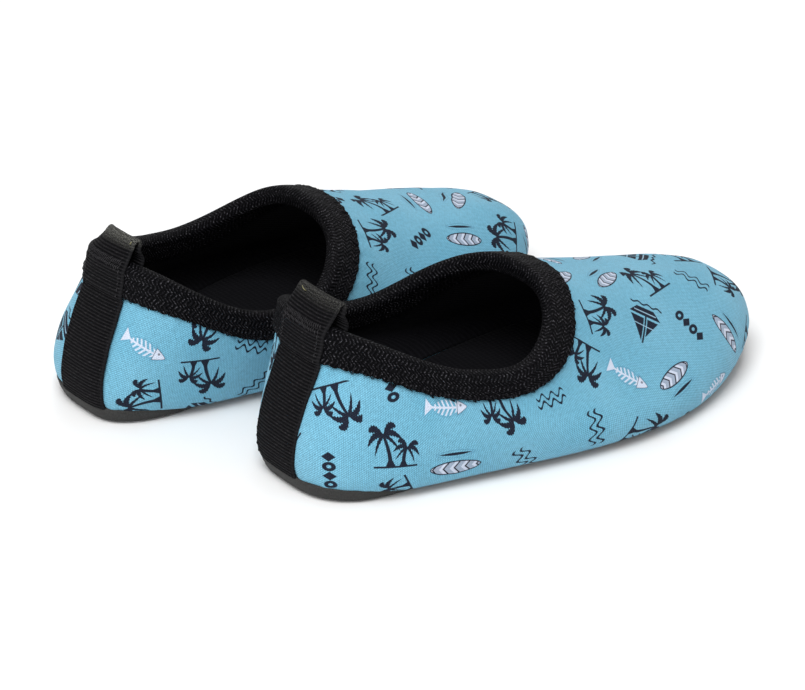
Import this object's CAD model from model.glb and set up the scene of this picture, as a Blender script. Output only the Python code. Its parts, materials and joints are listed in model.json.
import json
import math
import bpy
import numpy as np
from mathutils import Matrix, Vector

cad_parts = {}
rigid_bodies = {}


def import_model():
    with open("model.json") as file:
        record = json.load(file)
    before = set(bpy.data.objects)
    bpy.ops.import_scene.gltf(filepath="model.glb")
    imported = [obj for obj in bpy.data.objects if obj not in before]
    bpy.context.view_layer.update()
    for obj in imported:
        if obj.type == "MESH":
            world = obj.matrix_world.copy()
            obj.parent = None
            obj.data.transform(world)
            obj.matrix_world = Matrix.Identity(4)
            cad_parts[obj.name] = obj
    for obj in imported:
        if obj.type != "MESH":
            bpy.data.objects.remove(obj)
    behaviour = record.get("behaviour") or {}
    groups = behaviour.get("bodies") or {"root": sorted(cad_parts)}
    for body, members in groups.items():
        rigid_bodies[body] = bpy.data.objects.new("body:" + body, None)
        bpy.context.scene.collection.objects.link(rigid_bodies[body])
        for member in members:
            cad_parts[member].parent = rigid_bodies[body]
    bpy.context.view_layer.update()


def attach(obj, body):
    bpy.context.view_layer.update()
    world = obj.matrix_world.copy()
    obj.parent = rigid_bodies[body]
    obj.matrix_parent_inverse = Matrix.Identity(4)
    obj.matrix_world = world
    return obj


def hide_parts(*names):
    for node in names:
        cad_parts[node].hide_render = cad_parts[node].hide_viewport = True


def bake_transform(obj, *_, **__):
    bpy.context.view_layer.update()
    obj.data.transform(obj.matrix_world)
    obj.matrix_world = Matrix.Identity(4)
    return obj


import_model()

TAU = 2 * math.pi

# ------------------------------------------------------------------ design values (mm, one shoe's own frame: heel end at x 0, toe +X, inner side +Y)
L = 160.0
OUTSOLE, FRONT_T, FRONT_IN, SPRING = 3.8, 2.4, 3.5, 6.4
ORG_X, LEFT_BACK, LEFT_SIDE, LEFT_TURN = 34.0, 22.3, 65.0, math.radians(3.0)
FLEX_X = 106.0
LAT = [39.3, 31.6, 26.7, 58.9, 37.4, 31.9]
MED = [25.7, 20.8, 27.0, 34.6, 38.0, 22.0]
PX, PY = 0.97, 0.64
TX0, TX1, TPX, TPY = 9.1, 79.6, 0.87, 0.83
TLAT = [18.3, 25.4, 36.9, 34.5]
TMED = [34.5, 22.8, 36.0, 37.8]
TYC = [-2.0, 0.6, 0.2, -3.7]
TZ = [46.6, 44.8, 26.3, 23.2, 43.5]
TZM = [0, 0.4, -11.1, 6.2, 0]
H_O1 = [5.2, 8.6, 8.2, 8.0, 5.0]
H_U1 = [6.1, 6.5, 7.4, 13.9, 28.7]
H_M = [0.55, 0.5, 0.49, 0.46, 0.34]
H_O2 = [1.3, 9.6, 4.2, 0.3, -9.2]
H_U2 = [6.2, 3.4, 3.8, 4.7, 3.4]
H_C = [-0.7, 9.2, 4.9, -2.1, 10.4]
H_D = [11.2, 23.6, 23.4, 20.5, -1.5]
CLOTH_IN = 1.6
UP_T, LIN_T, BIND_W, TAPE_W = 2.6, 0.6, 9.5, 19.0
UP = np.array([0, 0, 1.0])


def bern(v, t):
    v = [np.asarray(a, float) + 0 * t for a in v]
    while len(v) > 1:
        v = [v[i] * (1 - t) + v[i + 1] * t for i in range(len(v) - 1)]
    return v[0]


def spow(a, p):
    return np.sign(a) * np.abs(a) ** p


def unit(v):
    return v / np.maximum(np.linalg.norm(v, axis=-1, keepdims=True), 1e-9)


def smooth(u):
    u = np.clip(u, 0, 1)
    return u * u * (3 - 2 * u)


def zs(x):
    return SPRING * np.clip((x / L - 0.7) / 0.3, 0, 1) ** 2


def zt(x):
    return OUTSOLE - (OUTSOLE - FRONT_T) * smooth((x - 2) / 26)


def zf(x):
    return zs(x) + zt(x)


def sole_in(x):
    """Distance of the rubber's edge inside the feather line, plus 0.4."""
    return (FRONT_IN + 0.4) * smooth((x - 8) / 34)


def feather(t):
    c, s = np.cos(TAU * t), np.sin(TAU * t)
    s = np.where(np.abs(s) < 1e-12, 0, s)
    q = (1 - c) / 2
    x = L / 2 * (1 - spow(c, PX))
    w = np.where(s > 0, bern(LAT, q), bern(MED, q))
    return np.stack([x, -w * spow(s, PY), zf(x)], -1)


def topline(t):
    c, s = np.cos(TAU * t), np.sin(TAU * t)
    s = np.where(np.abs(s) < 1e-12, 0, s)
    q = (1 - c) / 2
    x = TX0 + (TX1 - TX0) * (1 - spow(c, TPX)) / 2
    w = np.where(s > 0, bern(TLAT, q), bern(TMED, q))
    return np.stack([x, -w * spow(s, TPY) + bern(TYC, q), bern(TZ, q) + np.where(s < 0, bern(TZM, q), 0)], -1)


def plan_out(a, b):
    d = b - a
    return unit(np.stack([d[..., 1], -d[..., 0], 0 * d[..., 0]], -1))


def rail(t):
    q = (1 - np.cos(TAU * t)) / 2
    dt = 1 / 96
    f, p = feather(t), topline(t)
    nf, nt = plan_out(feather(t - dt), feather(t + dt)), plan_out(topline(t - dt), topline(t + dt))
    e = lambda v: bern(v, q)[..., None]
    m = e(H_M)
    u, d = e(H_U1), e(H_D)
    k = (1 + ((u + d) / (0.85 * (p[..., 2:] - f[..., 2:]))) ** 4) ** -0.25
    return [f, f + nf * e(H_O1) + UP * u * k, f * (1 - m) + p * m + (nf + nt) / 2 * e(H_O2) + UP * e(H_U2) * k, p + nt * e(H_C) * k - UP * d * k, p]


class Lines:
    """Section lines of the shoe's surface at the places t (1-D array)."""

    def __init__(self, t):
        self.t = np.asarray(t, float)
        self.q = rail(self.t)
        self.a, self.b = rail(self.t - 0.006), rail(self.t + 0.006)
        s = np.linspace(0, 1, 241)
        p = self._bz(self.q, np.broadcast_to(s, (len(self.t), 241)))
        seg = np.linalg.norm(np.diff(p, axis=1), axis=2)
        self.arc = np.concatenate([np.zeros((len(self.t), 1)), seg.cumsum(1)], 1)
        self.s_tab = s

    @staticmethod
    def _bz(q, s):
        s = s[..., None]
        r = 1 - s
        k = [v[:, None, :] for v in q]
        return k[0] * r**4 + k[1] * 4 * r**3 * s + k[2] * 6 * r * r * s * s + k[3] * 4 * r * s**3 + k[4] * s**4

    def _bzd(self, s):
        s = s[..., None]
        r = 1 - s
        k = [v[:, None, :] for v in self.q]
        return (k[1] - k[0]) * r**3 + 3 * (k[2] - k[1]) * r * r * s + 3 * (k[3] - k[2]) * r * s * s + (k[4] - k[3]) * s**3

    def s_from_top(self, d):
        """s at a distance d (n, m) below the topline along each line."""
        d = np.asarray(d, float)
        if d.ndim == 1:
            d = np.broadcast_to(d, (len(self.t), len(d)))
        out = np.empty(d.shape)
        for i in range(len(self.t)):
            out[i] = np.interp(self.arc[i, -1] - d[i], self.arc[i], self.s_tab)
        return out

    def length(self):
        return self.arc[:, -1]

    def normal(self, s):
        return unit(np.cross(self._bz(self.b, s) - self._bz(self.a, s), self._bzd(s)))

    def op(self, s, o, e=0.0):
        s = np.asarray(s, float)
        if s.ndim == 1:
            s = np.broadcast_to(s, (len(self.t), len(s)))
        o = np.broadcast_to(np.asarray(o, float), s.shape)
        p = self._bz(self.q, s) + self.normal(s) * o[..., None]
        if np.any(e):
            p = p + unit(self._bzd(s)) * np.broadcast_to(np.asarray(e, float), s.shape)[..., None]
        return p

    def dop(self, d, o):
        """Point at d below the topline (above it when negative), at offset o."""
        d = np.asarray(d, float)
        if d.ndim == 1:
            d = np.broadcast_to(d, (len(self.t), len(d)))
        return self.op(self.s_from_top(np.maximum(d, 0)), o, np.maximum(-d, 0))


SIDES = ("right", "left")


def place(side, p):
    """Shoe frame in mm to the row frame in metres."""
    p = np.array(p, float)
    if side == "right":
        p[..., 0] -= ORG_X
        return p / 1000
    x, y = p[..., 0].copy(), -p[..., 1].copy()
    c, s = math.cos(LEFT_TURN), math.sin(LEFT_TURN)
    p[..., 0] = x * c - y * s - ORG_X - LEFT_BACK
    p[..., 1] = x * s + y * c + LEFT_SIDE
    return p / 1000


# ------------------------------------------------------------------ mesh helpers
def soft_noise(p, scale, seed, octaves=1):
    """Smooth repeatable noise about -1..1 from sums of sines in random directions."""
    r = np.random.default_rng(seed)
    out, amp, tot = 0, 1.0, 0
    for _ in range(octaves):
        acc = 0
        for _ in range(9):
            d = r.normal(size=3)
            d = d / np.linalg.norm(d) * r.uniform(0.7, 1.4)
            acc = acc + np.sin(p @ d * TAU / scale + r.uniform(0, TAU))
        out = out + amp * acc / 3.6
        tot += amp
        amp *= 0.5
        scale *= 0.5
    return out / tot


def build(name, verts, faces, side, mat, uvs=None, smooth_shade=True):
    """Mesh from verts (mm, shoe frame) and quads or triangles; faces point outward for the right shoe."""
    v = place(side, verts)
    me = bpy.data.meshes.new(name)
    loops, starts, totals = [], [], []
    n = 0
    for f in faces:
        f = np.asarray(f)
        if side == "left":
            f = f[:, ::-1]
        loops.append(f.ravel())
        k = f.shape[1]
        starts.append(np.arange(len(f)) * k + n)
        totals.append(np.full(len(f), k))
        n += len(f) * k
    loops = np.concatenate(loops).astype(np.int32)
    starts, totals = np.concatenate(starts).astype(np.int32), np.concatenate(totals).astype(np.int32)
    me.vertices.add(len(v))
    me.vertices.foreach_set("co", v.astype(np.float32).ravel())
    me.loops.add(len(loops))
    me.loops.foreach_set("vertex_index", loops)
    me.polygons.add(len(starts))
    me.polygons.foreach_set("loop_start", starts)
    me.polygons.foreach_set("loop_total", totals)
    if smooth_shade:
        me.polygons.foreach_set("use_smooth", np.ones(len(starts), bool))
    me.update(calc_edges=True)
    me.validate(clean_customdata=False)
    for uname, per_face in (uvs or {}).items():
        layer = me.uv_layers.new(name=uname)
        data = []
        for uv in per_face:
            if side == "left":
                uv = uv[:, ::-1]
            data.append(uv.reshape(-1, 2))
        layer.data.foreach_set("uv", np.concatenate(data).astype(np.float32).ravel())
    ob = bpy.data.objects.new(name, me)
    bpy.context.scene.collection.objects.link(ob)
    if mat:
        me.materials.append(mat)
    return ob


def grid_faces(nu, nv, cu, cv):
    iu, iv = np.arange(nu if cu else nu - 1), np.arange(nv if cv else nv - 1)
    i, j = np.meshgrid(iu, iv, indexing="ij")
    i, j = i.ravel(), j.ravel()
    i2, j2 = (i + 1) % nu, (j + 1) % nv
    return np.stack([i * nv + j, i2 * nv + j, i2 * nv + j2, i * nv + j2], 1), i, j


def grid_uv(u, v, i, j):
    """u, v with one extra row or column where the grid closes: (nu+1, nv+1)."""
    c = [(i, j), (i + 1, j), (i + 1, j + 1), (i, j + 1)]
    return np.stack([np.stack([u[a, b], v[a, b]], -1) for a, b in c], 1)


def torus(name, P, side, mat, u, v, flip=False):
    """Closed both ways; P (nu, nv, 3); u (nu+1,) or (nu+1, nv+1), v the same."""
    nu, nv = P.shape[:2]
    f, i, j = grid_faces(nu, nv, True, True)
    u = np.broadcast_to(u[:, None], (nu + 1, nv + 1)) if u.ndim == 1 else u
    v = np.broadcast_to(v[None, :], (nu + 1, nv + 1)) if v.ndim == 1 else v
    uv = grid_uv(u, v, i, j)
    if flip:
        f, uv = f[:, ::-1], uv[:, ::-1]
    return build(name, P.reshape(-1, 3), [f], side, mat, {"MM": [uv]})


def tubes(name, lines, normals, radius, side, mat, k=8):
    """Round threads: lines (n, m, 3), normals (n, m, 3)."""
    n, m = lines.shape[:2]
    t = np.gradient(lines, axis=1)
    t = unit(t)
    b = unit(np.cross(t, normals))
    nn = np.cross(b, t)
    a = np.arange(k) / k * TAU
    r = np.full(m, radius)
    prof = np.concatenate([[0.45], np.ones(m - 2), [0.45]]) * r
    ring = lines[:, :, None] + (nn[:, :, None] * np.cos(a)[None, None, :, None] + b[:, :, None] * np.sin(a)[None, None, :, None]) * prof[None, :, None, None]
    ends = np.stack([lines[:, 0] - t[:, 0] * radius * 0.3, lines[:, -1] + t[:, -1] * radius * 0.3], 1)
    verts = np.concatenate([ring.reshape(n, -1, 3), ends], 1)
    per = m * k + 2
    i, j = np.meshgrid(np.arange(m - 1), np.arange(k), indexing="ij")
    i, j = i.ravel(), j.ravel()
    j2 = (j + 1) % k
    q = np.stack([i * k + j, i * k + j2, (i + 1) * k + j2, (i + 1) * k + j], 1)
    jj = np.arange(k)
    c0 = np.stack([np.full(k, m * k), (jj + 1) % k, jj], 1)
    c1 = np.stack([np.full(k, m * k + 1), (m - 1) * k + jj, (m - 1) * k + (jj + 1) % k], 1)
    off = (np.arange(n) * per)[:, None, None]
    quads, tris = (q[None] + off).reshape(-1, 4), (np.concatenate([c0, c1])[None] + off).reshape(-1, 3)
    return build(name, verts.reshape(-1, 3), [quads, tris], side, mat)


def unwrap(full, nu=141, nv=28, name="unwrap_tmp"):
    """Flattens an open grid of points (u, v, 3) with Blender's minimum-stretch unwrap, scaled to mm; solved on a coarse grid."""
    fu, fv = full.shape[:2]
    iu, iv = np.linspace(0, fu - 1, nu).round().astype(int), np.linspace(0, fv - 1, nv).round().astype(int)
    P = full[iu][:, iv]
    f, _, _ = grid_faces(nu, nv, False, False)
    me = bpy.data.meshes.new(name)
    me.from_pydata(P.reshape(-1, 3).tolist(), [], f.tolist())
    ob = bpy.data.objects.new(name, me)
    bpy.context.scene.collection.objects.link(ob)
    me.uv_layers.new(name="u")
    bpy.context.view_layer.objects.active = ob
    for o in bpy.context.view_layer.objects:
        o.select_set(o == ob)
    bpy.ops.object.mode_set(mode="EDIT")
    bpy.ops.mesh.select_all(action="SELECT")
    bpy.ops.uv.unwrap(method="MINIMUM_STRETCH", margin=0.0, iterations=20)
    bpy.ops.object.mode_set(mode="OBJECT")
    uvl = np.empty(len(me.loops) * 2, np.float32)
    me.uv_layers["u"].data.foreach_get("uv", uvl)
    li = np.empty(len(me.loops), np.int32)
    me.loops.foreach_get("vertex_index", li)
    uv = np.zeros((nu * nv, 2))
    uv[li] = uvl.reshape(-1, 2)
    uv = uv.reshape(nu, nv, 2)
    bpy.data.objects.remove(ob)
    bpy.data.meshes.remove(me)
    dl = np.linalg.norm(np.diff(P, axis=0), axis=2).sum() + np.linalg.norm(np.diff(P, axis=1), axis=2).sum()
    du = np.linalg.norm(np.diff(uv, axis=0), axis=2).sum() + np.linalg.norm(np.diff(uv, axis=1), axis=2).sum()
    uv = uv * dl / du
    a = np.stack([np.stack([np.interp(np.arange(fu), iu, uv[:, j, q]) for j in range(nv)], 1) for q in (0, 1)], -1)
    return np.stack([np.stack([np.interp(np.arange(fv), iv, a[i, :, q]) for i in range(fu)]) for q in (0, 1)], -1)


# ------------------------------------------------------------------ node maths
class E:
    """A number or a node socket in a material, with ordinary arithmetic."""

    def __init__(self, g, s):
        self.g, self.s = g, s

    def _m(self, op, *a, clamp=False):
        return self.g.math(op, self, *a, clamp=clamp)

    def __add__(self, o): return self._m("ADD", o)
    __radd__ = __add__
    def __sub__(self, o): return self._m("SUBTRACT", o)
    def __rsub__(self, o): return self.g.math("SUBTRACT", o, self)
    def __mul__(self, o): return self._m("MULTIPLY", o)
    __rmul__ = __mul__
    def __truediv__(self, o): return self._m("DIVIDE", o)
    def __rtruediv__(self, o): return self.g.math("DIVIDE", o, self)
    def __neg__(self): return self._m("MULTIPLY", -1.0)
    def abs(self): return self._m("ABSOLUTE")
    def sin(self): return self._m("SINE")
    def cos(self): return self._m("COSINE")
    def floor(self): return self._m("FLOOR")
    def frac(self): return self._m("FRACT")
    def sqrt(self): return self._m("SQRT")
    def pow(self, p): return self._m("POWER", p)
    def min(self, o): return self._m("MINIMUM", o)
    def max(self, o): return self._m("MAXIMUM", o)
    def lt(self, o): return self._m("LESS_THAN", o)
    def gt(self, o): return self._m("GREATER_THAN", o)
    def clamp(self): return self._m("MAXIMUM", 0.0)._m("MINIMUM", 1.0)
    def tri(self): return ((self.frac() - 0.5).abs() * 2.0)


class Graph:
    def __init__(self, name):
        self.mat = bpy.data.materials.new(name)
        self.mat.use_nodes = True
        self.nt = self.mat.node_tree
        self.nt.nodes.clear()
        self.out = self.nt.nodes.new("ShaderNodeOutputMaterial")
        self.bsdf = self.nt.nodes.new("ShaderNodeBsdfPrincipled")
        self.nt.links.new(self.bsdf.outputs[0], self.out.inputs[0])

    def put(self, sock, v):
        if isinstance(v, E):
            self.nt.links.new(v.s, sock)
        elif hasattr(v, "is_output") or isinstance(v, bpy.types.NodeSocket):
            self.nt.links.new(v, sock)
        else:
            sock.default_value = v

    def math(self, op, *a, clamp=False):
        n = self.nt.nodes.new("ShaderNodeMath")
        n.operation = op
        n.use_clamp = clamp
        for i, v in enumerate(a):
            self.put(n.inputs[i], v if isinstance(v, E) else float(v))
        return E(self, n.outputs[0])

    def cov(self, d, aa=0.16):
        """Coverage 0..1 of a shape from its signed distance in mm (inside is negative)."""
        return self.math("MULTIPLY_ADD", d, -1.0 / aa, 0.5, clamp=True)

    def mix(self, f, a, b):
        n = self.nt.nodes.new("ShaderNodeMix")
        n.data_type = "RGBA"
        self.put(n.inputs[0], f)
        for k, v in ((6, a), (7, b)):
            if isinstance(v, (tuple, list)):
                n.inputs[k].default_value = (*v, 1.0) if len(v) == 3 else v
            else:
                self.nt.links.new(v.s if isinstance(v, E) else v, n.inputs[k])
        return n.outputs[2]

    def scale_color(self, c, f):
        n = self.nt.nodes.new("ShaderNodeVectorMath")
        n.operation = "SCALE"
        self.nt.links.new(c, n.inputs[0])
        self.put(n.inputs[3], f)
        return n.outputs[0]

    def uv(self, name="MM"):
        n = self.nt.nodes.new("ShaderNodeUVMap")
        n.uv_map = name
        s = self.nt.nodes.new("ShaderNodeSeparateXYZ")
        self.nt.links.new(n.outputs[0], s.inputs[0])
        return E(self, s.outputs[0]), E(self, s.outputs[1]), n.outputs[0]

    def combine(self, x, y, z=0.0):
        n = self.nt.nodes.new("ShaderNodeCombineXYZ")
        for i, v in enumerate((x, y, z)):
            self.put(n.inputs[i], v)
        return n.outputs[0]

    def noise(self, vec, scale, detail=3.0, rough=0.55, w=None):
        n = self.nt.nodes.new("ShaderNodeTexNoise")
        n.noise_dimensions = "3D"
        self.nt.links.new(vec, n.inputs["Vector"])
        n.inputs["Scale"].default_value = scale
        n.inputs["Detail"].default_value = detail
        n.inputs["Roughness"].default_value = rough
        return E(self, n.outputs[0])

    def white(self, vec):
        n = self.nt.nodes.new("ShaderNodeTexWhiteNoise")
        n.noise_dimensions = "3D"
        self.nt.links.new(vec, n.inputs["Vector"])
        s = self.nt.nodes.new("ShaderNodeSeparateColor")
        self.nt.links.new(n.outputs["Color"], s.inputs[0])
        return E(self, n.outputs["Value"]), E(self, s.outputs[0]), E(self, s.outputs[1]), E(self, s.outputs[2])

    def attr(self, name):
        n = self.nt.nodes.new("ShaderNodeAttribute")
        n.attribute_name = name
        return n.outputs["Fac"], n.outputs["Vector"]

    def bump(self, h, strength, dist=0.001):
        n = self.nt.nodes.new("ShaderNodeBump")
        n.inputs["Strength"].default_value = strength
        n.inputs["Distance"].default_value = dist
        self.put(n.inputs["Height"], h)
        self.nt.links.new(n.outputs[0], self.bsdf.inputs["Normal"])

    def set(self, **kw):
        for k, v in kw.items():
            k = k.replace("_", " ")
            s = self.bsdf.inputs[k]
            if isinstance(v, (tuple, list)) and len(v) == 3 and s.type == "RGBA":
                v = (*v, 1.0)
            self.put(s, v)
        return self.mat


# ------------------------------------------------------------------ materials
INK = (0.010, 0.010, 0.021)
PALE = (0.60, 0.64, 0.76)
GREY = (0.22, 0.29, 0.39)


def crown(g, x, y, cx, cy, R, tilt):
    """Palm crown: drooping leaves on both sides of a point."""
    c, s = math.cos(tilt), math.sin(tilt)
    px, py = (x - cx) * c + (y - cy) * s, (y - cy) * c - (x - cx) * s
    u = px.abs() / R
    v = py / R
    out = None
    for a, b, end, wide in ((1.75, 1.55, 0.80, 0.46), (0.72, 1.15, 1.0, 0.40), (-0.35, 1.50, 0.72, 0.34)):
        k = (u / end).min(1.0)
        w = (k * (1.0 - k)).max(0.0).sqrt() * wide * (0.78 + (u * 7.0).tri() * 0.38)
        d = ((v - u * a + u * u * b).abs() - w).max(u - end)
        out = d if out is None else out.min(d)
    return out.min((u * u + v * v).sqrt() - 0.13) * (R * 0.8)


def print_masks(g, U, V, seed, cell=16.4):
    """Scattered generic beach motifs, one per cell: coverage of dark ink, of pale ink, of grey ink and of a faint halo."""
    row = (V / cell).floor()
    u2 = U / cell + row * 0.5
    col = u2.floor()
    fu, fv = (u2 - col - 0.5) * cell, (V / cell - row - 0.5) * cell
    val, r1, r2, r3 = g.white(g.combine(col + 0.37, row + 0.61, float(seed)))
    fu, fv = fu - (r1 - 0.5) * 1.6, fv - (r2 - 0.5) * 1.6
    a = r3 * TAU
    ca, sa = a.cos(), a.sin()
    x, y = (fu * ca + fv * sa) / 1.10, (fv * ca - fu * sa) / 1.10
    pick = (val * 97.13).frac()
    edges = [0.0, 0.28, 0.49, 0.60, 0.74, 0.86, 1.01]
    sel = [pick.gt(edges[i]) * pick.lt(edges[i + 1]) if i else pick.lt(edges[1]) for i in range(6)]
    cov = g.cov

    # palms on a strip of ground
    x0, y0 = x, y
    x, y = x / 0.86, y / 0.86
    t = ((y + 6.0) / 9.0).max(0.0)
    tr1 = ((x + 1.4 + t * t * 1.7).abs() - 0.62 + t * 0.20 - (1.0 - t * 5.0).max(0.0) * 0.7).max(-(y + 6.3)).max(y - 3.1)
    tr2 = ((x - 2.1 - t * t * 3.0).abs() - 0.50 - (1.0 - t * 6.0).max(0.0) * 0.6).max(-(y + 6.3)).max(y + 0.6)
    ground = ((y + 6.3).abs() - 0.30).max(x.abs() - 6.0)
    palm = tr1.min(tr2).min(ground).min(crown(g, x, y, -3.0, 2.9, 5.0, 0.18)).min(crown(g, x, y, 3.4, -0.9, 3.7, -0.22))
    dark = cov(palm) * sel[0]
    x, y = x0, y0

    # two boards: a broad pale one with bands, and a narrow outline one
    yb = y - 1.3
    prof = (1.0 - (x / 6.0).pow(2.0).min(1.0)).pow(0.62)
    board = (yb.abs() - prof * 1.9).max(x.abs() - 5.9)
    band = ((x + yb.abs() * 0.75) / 2.6).frac()
    d_board = cov(board.abs() - 0.17) + cov(board) * cov((band - 0.10).abs() - 0.09, 0.06)
    thin = ((y + 2.7).abs() - (1.0 - (x / 4.2).pow(2.0).min(1.0)) * 0.40).max(x.abs() - 4.1)
    d_board = (d_board + cov(thin)).clamp()
    dark = dark + d_board * sel[1]
    pale = cov(board) * sel[1]
    grey = cov(board) * band.gt(0.52) * sel[1]
    halo = cov(((y + 2.7).abs() - (1.0 - (x / 5.2).pow(2.0).min(1.0)) * 1.05).abs() - 0.13).min(x.abs().lt(4.9)) * sel[1] * 0.45

    # double wave line
    w = (x * (TAU / 3.4)).sin() * 0.8
    wave = ((y - 0.95 - w).abs() - 0.34).min((y + 0.95 - w).abs() - 0.30).max(x.abs() - 5.0)
    dark = dark + cov(wave) * sel[2]

    # fish bones
    spine = (y.abs() - 0.26).max((x + 0.4).abs() - 4.4)
    rib = (((x + y.abs() * 0.55) / 1.25).frac() - 0.5).abs() * 1.25 - 0.25
    rib = rib.max(y.abs() - (1.0 - ((x + 0.2) / 4.3).pow(2.0).min(1.0)) * 2.0).max(x - 3.0).max(-x - 4.0)
    head = (y.abs() - (1.0 - ((x - 3.0) / 3.0)).max(0.0).pow(0.75) * 1.75).max(3.0 - x).max(x - 5.9)
    tail = (y.abs() - (-x - 4.2) * 0.95 - 0.15).max(-x - 6.2).max(x + 4.2)
    fish = spine.min(rib).min(head).min(tail)
    eye = ((x - 4.1).pow(2.0) + (y - 0.45).pow(2.0)).sqrt() - 0.34
    pale = pale + cov(fish) * sel[3]
    dark = dark + (cov(eye) + cov((head.abs() - 0.1))).clamp() * sel[3] * 0.7
    halo = halo + cov((fish - 0.3).abs() - 0.16) * sel[3] * 0.30

    # sailing boat
    hull = (x.abs() - 4.9 - (y + 2.4) * 0.9).max(-(y + 4.9)).max(y + 2.4)
    mast = ((x + 0.3).abs() - 0.26).max(-(y + 2.6)).max(y - 5.6)
    main = (x - 0.3 - (5.1 - y) * 0.62).max(0.25 - x).max(-(y + 1.7))
    jib = (-x - 0.9 - (3.6 - y) * 0.62).max(x + 0.85).max(-(y + 1.7))
    boat = hull.min(mast).min(main).min(jib)
    stripe = ((y + 3.5).abs() - 0.15).max(x.abs() - 3.4).min(((y - 0.6).abs() - 0.13).max(x.abs() - 3.0))
    sea = (((y + 6.1) - (x * 2.1).sin() * 0.3).abs() - 0.27).max(x.abs() - 5.2)
    dark = dark + (cov(boat) * (1.0 - cov(stripe)) + cov(sea)).clamp() * sel[4]
    pale = pale + cov(stripe) * sel[4] * 0.4

    # a row of plain marks
    c4 = x / 2.5
    cx4 = (c4 - c4.floor() - 0.5) * 2.5
    odd = (c4.floor() * 0.5).frac().gt(0.25)
    diamond = cx4.abs() * 1.0 + (y * 0.68).abs() - 1.22
    disc = (cx4 * cx4 + (y * 0.72) * (y * 0.72)).sqrt() - 0.82
    ring = disc.abs() - 0.40
    marks = (cov(diamond) * odd + cov(ring) * (1.0 - odd)) * x.abs().lt(5.0)
    dark = dark + marks * sel[5]
    return dark.clamp(), pale.clamp(), grey.clamp(), halo.clamp()


def mat_upper(seed):
    g = Graph("printed_neoprene_%d" % seed)
    U, V, vec = g.uv()
    dark, pale, grey, halo = print_masks(g, U, V, seed)
    # knit face: small slanted stitches in offset rows
    rowh, colw = 0.46, 0.66
    r = (V / rowh)
    rr = r.floor()
    cu = U / colw + rr * 0.5
    sx, sy = (cu.frac() - 0.5) * 2.0, (r.frac() - 0.5) * 2.0
    st = (1.0 - ((sx + sy * 0.45).pow(2.0) * 0.9 + sy * sy * 0.85)).max(0.0)
    mot = g.noise(vec, 0.9, 2.0, 0.6)
    big = g.noise(vec, 0.045, 2.0, 0.5)
    base = g.mix((big - 0.35) * 1.6, (0.140, 0.405, 0.560), (0.205, 0.480, 0.635))
    tone = 0.68 + st * 0.54 + (mot - 0.5) * 0.46
    base = g.scale_color(base, tone)
    ink_d = dark * (1.0 - st * 0.06 * mot)
    col = g.mix(halo, base, (0.06, 0.20, 0.33))
    col = g.mix(pale * 0.93, col, PALE)
    col = g.mix(grey * 0.75, col, GREY)
    col = g.mix(ink_d, col, INK)
    g.bump(st * 0.8 + mot * 0.5, 0.55, 0.00028)
    rough = 0.74 + (mot - 0.5) * 0.15
    m = g.set(Base_Color=col, Roughness=rough)
    g.put(g.bsdf.inputs["Sheen Weight"], 0.16 - dark * 0.13)
    g.bsdf.inputs["Sheen Roughness"].default_value = 0.45
    g.bsdf.inputs["Sheen Tint"].default_value = (0.85, 0.95, 1.0, 1)
    g.put(g.bsdf.inputs["Specular IOR Level"], 0.24 - dark * 0.16)
    return m


def mat_binding():
    g = Graph("binding_elastic")
    U, V, vec = g.uv()
    z = (V / 3.1).tri()
    rib = ((U / 1.15 + z * 1.05) * TAU).sin() * 0.5 + 0.5
    across = ((V / 0.52 + (U / 1.15).floor() * 0.5) * TAU).sin() * 0.5 + 0.5
    n1 = g.noise(vec, 1.6, 2.0, 0.7)
    n2 = g.noise(vec, 4.0, 1.0, 0.6)
    h = rib * 0.65 + across * rib * 0.35 + (n2 - 0.5) * 0.3
    speck = ((n1 - 0.50) * 6.0).clamp() * rib.pow(3.0) * (0.25 + across.pow(2.0) * 0.75)
    col = g.mix(h * 0.55, (0.0006, 0.0006, 0.0010), (0.0058, 0.0056, 0.0078))
    col = g.mix(speck * 0.9, col, (0.165, 0.160, 0.180))
    g.bump(h, 0.9, 0.0004)
    m = g.set(Base_Color=col, Roughness=0.62 + (n1 - 0.5) * 0.2)
    g.bsdf.inputs["Specular IOR Level"].default_value = 0.05
    return m


def mat_tape(side, fold, worn):
    """fold: distance along the tape to the top fold; worn: how frayed and grey it is there."""
    g = Graph("grosgrain_tape_" + side)
    U, V, vec = g.uv()
    pitch = 0.95
    rib = (V / pitch * TAU).cos() * 0.5 + 0.5
    yarn = ((U / 0.42 + (V / pitch).floor() * 0.5) * TAU).sin() * 0.5 + 0.5
    n1 = g.noise(vec, 1.3, 2.0, 0.65)
    n2 = g.noise(vec, 5.0, 1.0, 0.5)
    edge = ((U.abs() - 8.55) * 3.0).clamp()
    h = rib * 0.75 + yarn * 0.22 * rib + (n2 - 0.5) * 0.25
    col = g.mix(rib * (0.65 + yarn * 0.35), (0.0012, 0.0012, 0.0018), (0.0135, 0.0130, 0.0145))
    col = g.mix(((n1 - 0.56) * 6.0).clamp() * rib * 0.5, col, (0.085, 0.080, 0.085))
    col = g.mix(edge * 0.6, col, (0.010, 0.0098, 0.011))
    top = (1.0 - (V - fold).abs() / 3.4).clamp()
    n4 = g.noise(vec, 3.2, 3.0, 0.75)
    col = g.mix(top * ((n4 - 0.47) * 7.0).clamp() * worn, col, (0.230, 0.230, 0.205))
    g.bump(h * (1.0 - edge * 0.7) + top * n4 * worn * 0.6, 0.8, 0.00035)
    m = g.set(Base_Color=col, Roughness=0.66 + (n1 - 0.5) * 0.2)
    g.bsdf.inputs["Specular IOR Level"].default_value = 0.06
    return m


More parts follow.
